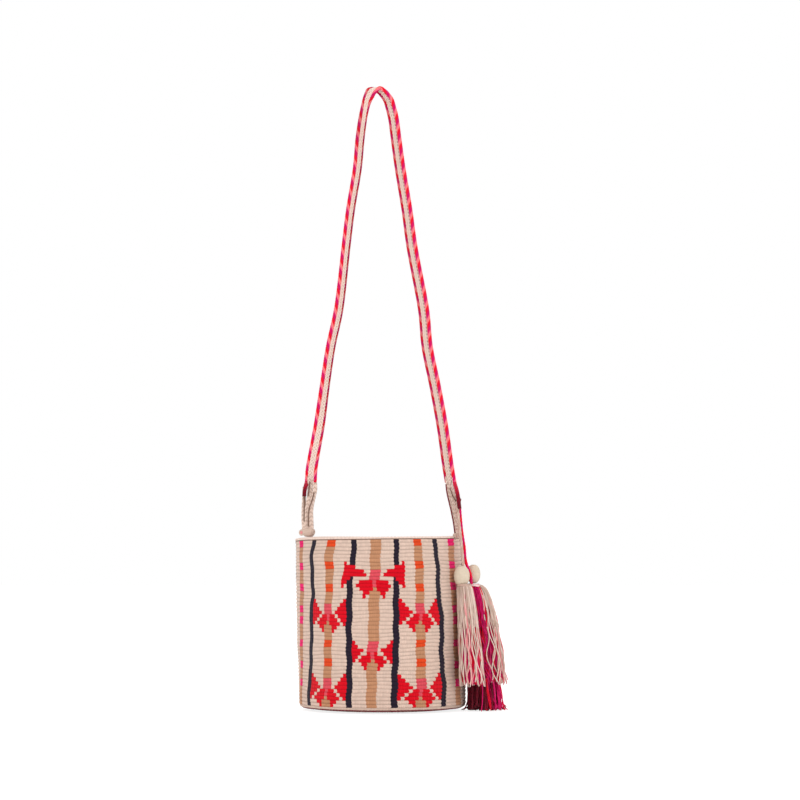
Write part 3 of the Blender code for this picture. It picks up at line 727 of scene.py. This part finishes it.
def stitch_angle(u, v):
    """The angle of a stitch column, bowed a little within each round."""
    jitter = 0.16 * np.sin(7.3 * np.floor(v)) + 0.26 * np.abs(np.sin(math.pi * v))
    return np.radians(FIRST_ANGLE + (u + jitter) * STITCH_ANGLE)


def place_wall(u, v, inset=SKIN):
    radius, height = profile(v * ROW_PITCH, inset)
    return soften(radius, stitch_angle(u, v), height)


def place_inside(u, v):
    return place_wall(-u, v, WALL)


def base_rounds(u, v, rows, inset):
    """Radius of the base's rounds as a share of its outermost one and in metres, and the angle."""
    start = profile(np.array(rows * ROW_PITCH), inset)[0]
    radius = start * (1 - v / BASE_ROUNDS * BASE_REACH)
    return radius / start, radius, np.radians(FIRST_ANGLE + u * STITCH_ANGLE)


def place_base(u, v):
    share, radius, angle = base_rounds(u, v, TURN_ROWS, SKIN)
    return soften(radius, angle, SKIN - FOOT_LIFT * (1 - share**8))


def place_floor(u, v):
    _, radius, angle = base_rounds(-u, v, TURN_ROWS - 1, WALL)
    return soften(radius, angle, np.full_like(radius, WALL + FLOOR_CLEARANCE))


def paint(chart, row, first, last, colour):
    for stitch in range(first, last + 1):
        chart[row][stitch % STITCHES] = colour


def paint_pair(chart, row, start, steps):
    """A red figure at the left of a panel and its mirror image at the right."""
    field = start + NAVY_STITCHES
    end = start + PANEL_STITCHES - 1
    for step, (near, far) in enumerate(steps):
        paint(chart, row + step, field + near, field + far, "red")
        paint(chart, row + step, end - far, end - near, "red")


def paint_flower(chart, row, start, petals):
    stripe = start + NAVY_STITCHES + FIELD_STITCHES
    middle = stripe + STRIPE_STITCHES // 2
    for step in range(STEM_ROWS):
        paint(chart, row + step, stripe, stripe + STRIPE_STITCHES - 1, "stem_pink")
    for step, (near, far) in enumerate(petals):
        petal_row = row + STEM_ROWS + step
        paint(chart, petal_row, middle - far, middle - near, "red")
        paint(chart, petal_row, middle + near, middle + far, "red")
        if step < STEM_IN_PETALS:
            paint(chart, petal_row, middle, middle, "stem_pink")


def stitch_chart():
    """The colour of each stitch: navy lines, striped columns and stepped figures on cream."""
    chart = [["cream"] * STITCHES for _ in range(TURN_ROWS)]
    for panel, kind in enumerate(PANEL_KINDS):
        start = panel * PANEL_STITCHES
        stripe = start + NAVY_STITCHES + FIELD_STITCHES
        for row in range(LAST_NAVY_ROW + 1):
            colour = "tan"
            if kind == "A" and row in ORANGE_ROWS:
                colour = "orange"
            if kind == "C" and row in PINK_ROWS:
                colour = "hot_pink"
            paint(chart, row, start, start + NAVY_STITCHES - 1, "navy")
            paint(chart, row, stripe, stripe + STRIPE_STITCHES - 1, colour)
    for panel, kind in enumerate(PANEL_KINDS):
        start = panel * PANEL_STITCHES
        if kind == "A":
            for triangle_row, stem_row in ((16, 17), (36, 37)):
                paint_pair(chart, triangle_row, start, TRIANGLE)
                paint_flower(chart, stem_row, start, PETALS)
        if kind == "B":
            paint_pair(chart, 6, start, WINGS)
            paint_flower(chart, 8, start, WIDE_PETALS)
            paint_pair(chart, 27, start, WIDE_TRIANGLE)
            paint_flower(chart, 27, start, SHORT_PETALS)
    chart[TURN_ROWS - 1] = ["maroon"] * STITCHES
    return np.array([[linear(colour) for colour in row] for row in chart])


def plain(rows, stitches, colour="cream"):
    return np.broadcast_to(linear(colour), (rows, stitches, 3))


def bag():
    chart = stitch_chart()
    low = (0.0006, 0.0003, 0.0002)
    under = (plain(BASE_ROUNDS, STITCHES), (2, (0.0, 0.25, 0.75)), low)
    sheets = (
        ("bag_wall", place_wall, chart, (3, (0.0, 0.14, 0.5, 0.86)), (0.0007, 0.0004, 0.0003)),
        ("bag_inside", place_inside, chart[: TURN_ROWS - 1, ::-1], (2, (0.0, 0.5)), low),
        ("bag_base", place_base, *under),
        ("bag_floor", place_floor, *under),
    )
    for name, place, colours, fine, relief in sheets:
        nodes = ["bag_body"] if name == "bag_wall" else []
        dress(crochet_sheet(name, place, colours, fine, relief, CROCHET), "bag_crochet", *nodes)


def rim_edge():
    """The chain that finishes the rim."""
    angle = np.linspace(0, 2 * math.pi, 721)
    middle = wall_radius(BAG_HEIGHT) - WALL / 2
    path = soften(np.full_like(angle, middle), angle, np.full_like(angle, BAG_HEIGHT - 0.0019))
    outward = np.stack([np.sin(angle), -np.cos(angle), np.zeros_like(angle)], axis=1)
    at, path, outward = even(path, 0.0012, outward)
    across, out = frames_along(path, outward)
    strands = braid(
        path, at, across, out, count=4, wide=0.0014, deep=0.0006, wave=2 * math.pi * middle / 84,
        strand=0.0010, shades=["pale"],
    )
    # Painted shadow: a dark line just under the rim's edge
    strands.append((path + outward * 0.0016 - (0, 0, 0.0013), 0.0005, linear("seam")))
    dress(tubes("rim_edge", strands, COTTON, reference=(0.05, 0.02, 1.0)), "bag_crochet")


# The strap
def ear_place(angle):
    return around(angle) * EAR_RADIUS + Vector((TOP_SHIFT * 0.6, 0, BAG_HEIGHT - 0.0015))


def leg_place(end, share, reach):
    """A place on a leg of the strap, this share of the way up and this far out."""
    place = end.lerp(STRAP_TOP, share)
    place.x = STRAP_TOP.x + (end.x - STRAP_TOP.x) * reach
    return place


def strap_path():
    """Points of the strap's middle line, with the direction of its front edge, left to right."""
    left_end = Vector((LEFT_END_X, ear_place(LEFT_EAR_ANGLE).y, STRAP_END_HEIGHT))
    right_end = Vector((RIGHT_END_X, ear_place(RIGHT_EAR_ANGLE).y, STRAP_END_HEIGHT))
    rise, fall, rise_edges, fall_edges = [], [], [], []
    for share, left_reach, right_reach, edge_x, edge_y in LEG_SHAPE:
        rise.append(leg_place(left_end, share, left_reach))
        rise_edges.append((edge_x, edge_y, -APEX_TIP * min(max((share - 0.93) / 0.05, 0), 1)))
        fall.append(leg_place(right_end, share, right_reach))
        edge = RIGHT_EDGE.lerp(TOP_EDGE, share)
        edge.z *= share**8
        fall_edges.append(edge)
    places = smooth_path([*rise, STRAP_TOP, *fall[::-1]])
    edges = smooth_path([*rise_edges, TOP_EDGE, *fall_edges[::-1]])
    return even(places, 0.0011, edges)


def tail(start, points, radius, strand):
    """Where a rope of the band runs on past its end, painted darker towards its tip as shade."""
    at, path = even(smooth_path([start, *points]), 0.0008)
    across, out = frames_along(path, (1.0, 0.1, 0.0))
    # Painted shade, darker towards the tail's tip
    tone = np.interp(at / at[-1], (0.0, 0.35, 0.6, 1.0), (0.9, 0.7, 0.32, 0.2))
    return rope(path, at, across, out, 0.0, radius, ROPE_PITCH, ["crimson", "rose"] * 3, strand, tone=tone)


def strap():
    """Two plied ropes with a flat cream plait between them, slanted with the band."""
    at, path, across = strap_path()
    forward = unit(np.gradient(path, axis=0))
    out = unit(np.cross(forward, across))
    centre = STRAP_WIDTH / 2 - ROPE_RADIUS
    shades = ["peach", "blush", "magenta", "magenta", "crimson", "crimson"]
    ring, strand = 0.00145, 0.00098
    share = at / at[-1]
    front = np.interp(share, (0.0, 0.1, 0.44, 0.52, 1.0), (0.85, 0.78, 0.72, 1.0, 1.0))
    back = np.interp(share, (0.0, 0.1, 0.40, 0.46, 0.52, 0.9, 1.0), (1.0, 1.0, 0.92, 1.0, 1.05, 1.0, 0.9))
    side = np.interp(share, (0.0, 0.2, 0.27, 0.36, 0.44, 0.52, 1.0), (1.0, 1.0, 0.86, 0.88, 0.96, 1.04, 1.04))
    # Painted shade: the front rope is darker down the left leg and the back rope from the top down the right
    # leg
    front_rope_shade = np.interp(share, (0.0, 0.03, 0.1, 0.44, 0.50, 1.0), (1.0, 0.9, 0.55, 0.55, 1.0, 1.0))
    back_rope_shade = np.interp(share, (0.0, 0.40, 0.44, 0.52, 1.0), (1.0, 0.95, 0.75, 0.76, 0.76))
    narrowed = across * side[:, None]
    strands = rope(
        path, at, across, out, centre, ring * front, ROPE_PITCH, shades, strand * front,
        start=0.1, tone=front_rope_shade,
    )
    strands += rope(
        path, at, narrowed, out, -centre, ring * back, -ROPE_PITCH, shades[::-1], strand * back,
        start=0.3, tone=back_rope_shade,
    )
    strands += braid(
        path, at, narrowed, out, count=5, wide=0.0036, deep=0.0007, wave=0.020, strand=0.0012, shades=["pale"]
    )
    # Painted shadow: a dark line beside the outer rope down the right leg
    seam = path + across * (centre - 0.0031) + out * 0.0012
    half = len(path) // 2
    strands.append((seam[half:], 0.0005, linear("seam")))
    strands += tail(tuple(path[0] - across[0] * centre), LEFT_TAIL, ring, strand)
    strands += tail(tuple(path[-1] + across[-1] * centre), RIGHT_TAIL, ring, strand)
    dress(tubes("strap_band", strands, COTTON), "strap_weave", "strap")


def end_cord(name):
    """A flat crocheted cord from a tab up into the band, with dark strands beside it that are painted shade
    in the slits.
    """
    half, points = END_CORDS[name]
    at, path = even(smooth_path(points), 0.0009)
    across, depth = frames_along(path, (1.0, 0.12, 0.0))
    strand = 0.00085
    strands = braid(
        path, at, across, depth, count=5, wide=half - strand, deep=0.0007, wave=0.0095, strand=strand,
        shades=["pale", "cream"],
    )
    # Painted shade: dark strands where the slits between the cords lie in shadow
    shade, *lines = SLIT_SHADE_LINES.get(name, ["seam"])
    strands += [(smooth_path(line, 8), 0.0007, linear(shade)) for line in lines]
    dress(tubes(name, strands, COTTON), "cream_cotton", name)


def tab(name, angle, axis_angle, radius, length, shift):
    """The strap's rolled end, sewn on the rim: a flat crocheted strip wound on itself."""
    layer, turns, spacing, strand = 0.0015, 1.7, 0.00125, 0.00098
    turn = np.linspace(0, turns * 2 * math.pi, 64)
    centre = ear_place(angle) + Vector(shift) + Vector((0, 0, radius - 0.0006))
    sideways = along(axis_angle)
    outward = around(axis_angle)
    strands = []
    count = int(length / spacing)
    for number in range(count):
        share = number / (count - 1) - 0.5
        full = math.sqrt(1 - (2 * share) ** 6 * 0.45)
        middle = centre + sideways * (length * share)
        points = []
        for step in turn:
            reach = (radius - layer * step / (2 * math.pi)) * full - 0.0009
            up = Vector((0, 0, reach * math.cos(step)))
            points.append(middle + outward * (reach * math.sin(step)) - up)
        strands.append((points, strand, linear("cream")))
    obj = tubes(name, strands, COTTON, reference=tuple(sideways))
    dress(obj, "cream_cotton", name)


def curl():
    """The loose corner beside the left tab, with the coral lining that shows in it."""
    centre = Vector((-0.0908, -0.0452, 0.2045))
    side = Vector((0.90, -0.43, 0.0))
    strands = []
    for radius, strand, shade, depth in ((0.0025, 0.0010, "cream", 0.0), (0.0009, 0.0009, "pink", 0.0004)):
        turn = np.linspace(0, 2 * math.pi, 24)
        points = [
            centre + side * (radius * math.cos(a)) + Vector((0, depth, radius * 1.1 * math.sin(a)))
            for a in turn
        ]
        strands.append((points, strand, linear(shade)))
    obj = tubes("left_curl", strands, COTTON, reference=(0.6, 0.8, 0.0))
    dress(obj, "cream_cotton")


# The tassels
def tassel_cord(name, route, shades):
    """A plied cord down to its ball, which runs on inside the threads of its tassel."""
    foot = hem_middle(name.replace("cord", "skirt"))
    foot.z = HEM_HEIGHT * 0.55
    last = Vector(route[-1])
    inner = [tuple(last.lerp(foot, share)) for share in (0.2, 0.4, 0.6, 0.8)]
    route = [*route, *inner]
    at, path = even(smooth_path(route), 0.0008)
    across, out = frames_along(path, (0.6, 0.8, 0.0))
    strands = rope(
        path, at, across, out, centre=0.0, radius=0.0009, pitch=0.0160, shades=shades, strand=0.00100
    )
    obj = tubes(name, strands, COTTON)
    dress(obj, "red_cotton", name)
    line = even(smooth_path(route), 0.002)[1]


def node_middle(node):
    low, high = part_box(node)
    return (Vector(low) + Vector(high)) / 2


def ball(name, radius, half_height, shift):
    middle = node_middle(name) + Vector(shift)
    rows = 9
    stitches = 16

    def place(u, v):
        polar = math.pi * (0.03 + 0.94 * v / rows)
        turn = 2 * math.pi * (u + 0.25 * v) / stitches
        ring = (radius - 0.0003) * np.sin(polar) ** 0.85
        x = middle.x + ring * np.sin(turn)
        y = middle.y - ring * np.cos(turn)
        z = middle.z + (half_height - 0.0003) * np.cos(polar)
        return np.stack([x, y, z], axis=-1)

    obj = crochet_sheet(
        name, place, plain(rows, stitches, "ball"), (4, (0.0, 0.25, 0.5, 0.75)), (0.00012, 0.0001, 0.0),
        FINE_CROCHET,
    )
    return dress(obj, "cream_cotton", name)


def tie(name, shade, radius, shift):
    middle = node_middle(name) + Vector(shift)
    turn = np.linspace(0, 3.2 * 2 * math.pi, 90)
    height = middle.z + 0.0009 - 0.0018 * turn / turn[-1] + 0.0003 * np.sin(3 * turn)
    points = np.stack([middle.x + radius * np.cos(turn), middle.y + radius * np.sin(turn), height], axis=1)
    obj = tubes(name, [(points, 0.0008, linear(shade))], COTTON, reference=(0, 0.05, 1))
    return dress(obj, "pink_cotton", name)


def threads(chance, count, neck, foot, angle, heights, halves, reach, pick, radius, sway, curve, toe=0.0):
    """Loose threads that hang from the neck and spread towards the hem, swaying along the tassel's skin.
    pick gives the shade of a thread from its angle; curve rounds the shoulders; toe is how far the tips run
    out on the floor."""
    top, hem = heights
    neck_half, out_half, along_half = halves
    outward, sideways = around(angle), along(angle)
    strands = []
    t = np.linspace(0, 1, 30)
    for number in range(count):
        start = 2 * math.pi * (number + chance.uniform(-0.45, 0.45)) / count
        share = chance.uniform(*reach)
        length = 1 + chance.uniform(-0.035, 0.02)
        bends = chance.uniform(1.4, 3.2)
        swing = sway * chance.uniform(0.35, 1.1)
        drift = chance.uniform(-0.25, 0.25)
        phase = chance.uniform(0, 2 * math.pi)
        turn = start + drift * t + swing * t**0.9 * np.sin(2 * math.pi * bends * t + phase)
        swell = 1 + 0.05 * np.sin(2 * math.pi * (bends + 0.7) * t + phase * 2) * t
        shoulder = 1 - np.exp(-t * 28) * 0.45
        out_reach = (neck_half + (out_half - neck_half) * t**curve) * share * shoulder * swell
        side_reach = (neck_half + (along_half - neck_half) * t**curve) * share * shoulder * swell
        spill = toe * chance.uniform(0.0, 1.0) ** 3 * np.clip((t - 0.93) / 0.07, 0, 1) ** 1.5
        height = top - (top - hem) * np.minimum(t * length, 1.0 if toe else 2.0)
        points = np.array([neck.lerp(foot, float(s)) for s in t**curve])
        points += np.array(outward) * ((out_reach + spill) * np.sin(turn))[:, None]
        points += np.array(sideways) * ((side_reach + spill) * np.cos(turn))[:, None]
        points[:, 2] = height
        strands.append((points, radius, linear(pick(chance, start))))
    return strands


def hem_middle(node):
    """The middle of a node at its lower end, as a place on the floor."""
    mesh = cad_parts[node].data
    points = np.array([tuple(v.co) for v in mesh.vertices])
    low, high = points[:, 2].min(), points[:, 2].max()
    near = points[points[:, 2] - low < (high - low) * 0.03]
    return Vector((*((near.min(0) + near.max(0)) / 2)[:2], 0.0))


def tassel(name, foot_angle, halves, seed, counts, curve, neck_shift, foot_shift):
    """The skirt of cream threads and the coloured threads inside; the rear one's reach the floor."""
    chance = random.Random(seed)
    neck = node_middle(f"tassel_tie_{name}") + Vector(neck_shift)
    neck.z = 0
    foot = hem_middle(f"tassel_skirt_{name}") + Vector(foot_shift)
    out_half, along_half = halves
    rear = name == "rear"

    def skirt_shade(chance, turn):
        if rear and 2.6 < turn < 3.9:
            return chance.choice(("magenta", "pale", "magenta", "pink", "crimson"))
        front_shades = ("cream", "pale", "cream", "pale", "pink")
        return chance.choice(("cream", "pale", "pale", "pink") if rear else front_shades)

    def upper_shade(chance, turn):
        if rear and 2.4 < turn < 3.9:
            return "crimson" if turn < 2.65 else "magenta"
        return chance.choice(("cream", "cream", "pale", "shade"))

    def core_shade(chance, turn):
        return chance.choice(("crimson", "magenta", "hot_pink", "crimson", "blush"))

    def floor_shade(chance, turn):
        # Painted shade: threads on the side towards the bag are darker
        if math.sin(turn) < -0.1:
            return chance.choice(("dark_core", "dark_core", "maroon"))
        return chance.choice(("magenta", "magenta", "crimson", "dark_core", "hot_pink"))

    top = NECK_HEIGHT + 0.0012
    short_hem = HEM_HEIGHT + SHORT_HEM_RISE
    spread = ((top - short_hem) / (top - HEM_HEIGHT)) ** curve
    short_halves = [NECK_HALF + (half - NECK_HALF) * spread for half in halves]
    skirt = threads(
        chance, counts[0], neck, foot, foot_angle, (top, HEM_HEIGHT), (NECK_HALF, *halves),
        reach=(0.96, 1.03), pick=skirt_shade, radius=SKIRT_THREAD, sway=0.26, curve=curve,
    )
    skirt += threads(
        chance, counts[1], neck, neck.lerp(foot, spread), foot_angle, (top, short_hem),
        (NECK_HALF, *short_halves),
        reach=(0.98, 1.03), pick=upper_shade, radius=SKIRT_THREAD, sway=0.05, curve=curve,
    )
    skirt_obj = dress(
        tubes(f"tassel_skirt_{name}", skirt, COTTON, sides=5), "cream_cotton", f"tassel_skirt_{name}"
    )
    core = threads(
        chance, CORE_THREADS, neck, foot, foot_angle, (top - 0.001, HEM_HEIGHT + 0.002),
        (0.0062, out_half * 0.92, along_half * 0.92),
        reach=(0.60, 0.98), pick=core_shade, radius=CORE_THREAD, sway=0.16, curve=curve,
    )
    if rear:
        core += threads(
            chance, FLOOR_THREADS, neck, foot + Vector((-0.0018, 0, 0)), foot_angle, (top - 0.001, 0.0010),
            (0.0060, out_half * 0.94, along_half * 0.98),
            reach=(0.12, 1.0), pick=floor_shade, radius=SKIRT_THREAD, sway=0.10, curve=curve, toe=0.009,
        )
    core_obj = dress(
        tubes(f"tassel_core_{name}", core, COTTON, sides=5), "magenta_cotton", f"tassel_core_{name}"
    )
    return [skirt_obj, core_obj]


def knot():
    middle = node_middle("tassel_knot")
    strands = []
    for number, tilt in enumerate((0.2, 1.1, 2.1)):
        turn = np.linspace(0, 2 * math.pi, 28)
        u = Vector((math.cos(tilt), math.sin(tilt), 0.3)).normalized()
        w = u.cross(Vector((0, 0.2, 1))).normalized()
        points = [
            tuple(middle + (u * math.cos(a) + w * math.sin(a)) * 0.0021 + u.cross(w) * 0.0004 * number)
            for a in turn
        ]
        # Painted shade: the first and last turns are maroon painted darker
        shade = ("shaded_maroon", "maroon", "shaded_maroon")[number]
        strands.append((np.array(points), 0.00095, linear(shade)))
    obj = tubes("tassel_knot", strands, COTTON, reference=(0.31, 0.47, 0.82))
    return dress(obj, "red_cotton", "tassel_knot")


# The stage
def camera():
    data = bpy.data.cameras.new("camera")
    data.lens = CAMERA_LENS
    data.sensor_width = 36.0
    obj = add_object("camera", data)
    obj.location = CAMERA_PLACE
    obj.rotation_euler = (math.radians(90 + CAMERA_PITCH), 0.0, 0.0)
    bpy.context.scene.camera = obj


def lamp(name, place, power):
    data = bpy.data.lights.new(name, "AREA")
    data.shape = "SQUARE"
    data.size = LAMP_SIZE
    data.energy = power
    obj = add_object(name, data)
    obj.location = place
    obj.rotation_euler = (Vector(LAMP_TARGET) - Vector(place)).to_track_quat("-Z", "Y").to_euler()


def studio():
    world = bpy.data.worlds.new("studio")
    bpy.context.scene.world = world
    world.use_nodes = True
    nodes = Nodes(world.node_tree)
    rays = nodes.add("ShaderNodeLightPath")
    seen = nodes.math("MAXIMUM", Value(nodes, rays.outputs["Is Camera Ray"]),
                      Value(nodes, rays.outputs["Is Glossy Ray"]))
    back = world.node_tree.nodes["Background"]
    back.inputs["Color"].default_value = (1, 1, 1, 1)
    strength = 1.10 - seen * 0.10
    world.node_tree.links.new(strength.socket, back.inputs["Strength"])
    lamp("key", (1.6, -2.8, 1.9), power=16)
    lamp("fill", (-2.2, -2.2, 1.0), power=8)

    signs = ((-1, -1), (1, -1), (1, 1), (-1, 1))
    corners = [(x * FLOOR_HALF, y * FLOOR_HALF, FLOOR_HEIGHT) for x, y in signs]
    floor = add_mesh("floor", corners, [(0, 1, 2, 3)])
    material, nodes, shader = node_material("floor")
    shader.inputs["Base Color"].default_value = (0.9, 0.9, 0.9, 1)
    shader.inputs["Roughness"].default_value = 1.0
    shader.inputs["Specular IOR Level"].default_value = 0.0
    glow = nodes.get("ShaderNodeEmission", None, {"Color": (1, 1, 1, 1), "Strength": 1.5})
    rays = nodes.add("ShaderNodeLightPath")
    share = Value(nodes, rays.outputs["Is Camera Ray"]) * 0.55
    both = nodes.get("ShaderNodeMixShader", None, {0: share, 1: Value(nodes, shader.outputs[0]), 2: glow})
    output = material.node_tree.nodes["Material Output"]
    material.node_tree.links.new(both.socket, output.inputs["Surface"])
    floor.data.materials.append(material)
    bpy.context.scene.view_settings.view_transform = "Standard"


RELIEF = crochet_relief()
CROCHET_FINISH = {"strength": 0.55, "distance": 0.0006, "roughness": 0.94, "specular": 0.12, "sheen": 0.12}
YARN_FINISH = {"strength": 0.5, "distance": 0.0005, "roughness": 0.92, "specular": 0.15, "sheen": 0.15}
# The numbers given to crocheted set how dark the painted groove shade is
CROCHET = cotton("crocheted cotton", crocheted(0.42), **CROCHET_FINISH)
FINE_CROCHET = cotton("fine crocheted cotton", crocheted(0.05), **CROCHET_FINISH)
COTTON = cotton("plied cotton", plied, **YARN_FINISH)

camera()
knot_piece = knot()
front_pieces = [
    ball("tassel_ball_front", radius=0.0092, half_height=0.0118, shift=(-0.0015, 0, -0.0020)),
    tie("tassel_tie_front", "shade", radius=0.0076, shift=(0.0010, 0, 0.0012)),
]
rear_pieces = [
    ball("tassel_ball_rear", radius=0.0080, half_height=0.0110, shift=(-0.0014, 0, 0)),
    tie("tassel_tie_rear", "tie_white", radius=0.0064, shift=(-0.0014, -0.0030, 0.0008)),
]
front_pieces += tassel(
    "front", foot_angle=61.0, halves=(0.0140, 0.0140), seed=11, counts=(46, 34), curve=0.80,
    neck_shift=(0.0012, 0, 0), foot_shift=(0.0032, -0.0020, 0),
)
rear_pieces += tassel(
    "rear", foot_angle=80.9, halves=(0.0222, 0.0230), seed=23, counts=(56, 40), curve=0.50,
    neck_shift=(-0.0014, 0, 0), foot_shift=(0.0004, 0, 0),
)
tassel_cord("tassel_cord_front", FRONT_CORD, ["shade", "cream", "shade"])
tassel_cord("tassel_cord_rear", REAR_CORD, ["crimson", "crimson", "magenta", "hot_pink"])
bag()
rim_edge()
strap()
for cord in END_CORDS:
    end_cord(cord)
tab("left_tab", LEFT_EAR_ANGLE, axis_angle=-22.0, radius=0.0056, length=0.0115, shift=(0.0020, 0, 0.0016))
curl()
tab("right_tab", RIGHT_EAR_ANGLE, axis_angle=RIGHT_EAR_ANGLE, radius=0.0034, length=0.0140, shift=(0, 0, 0))
studio()
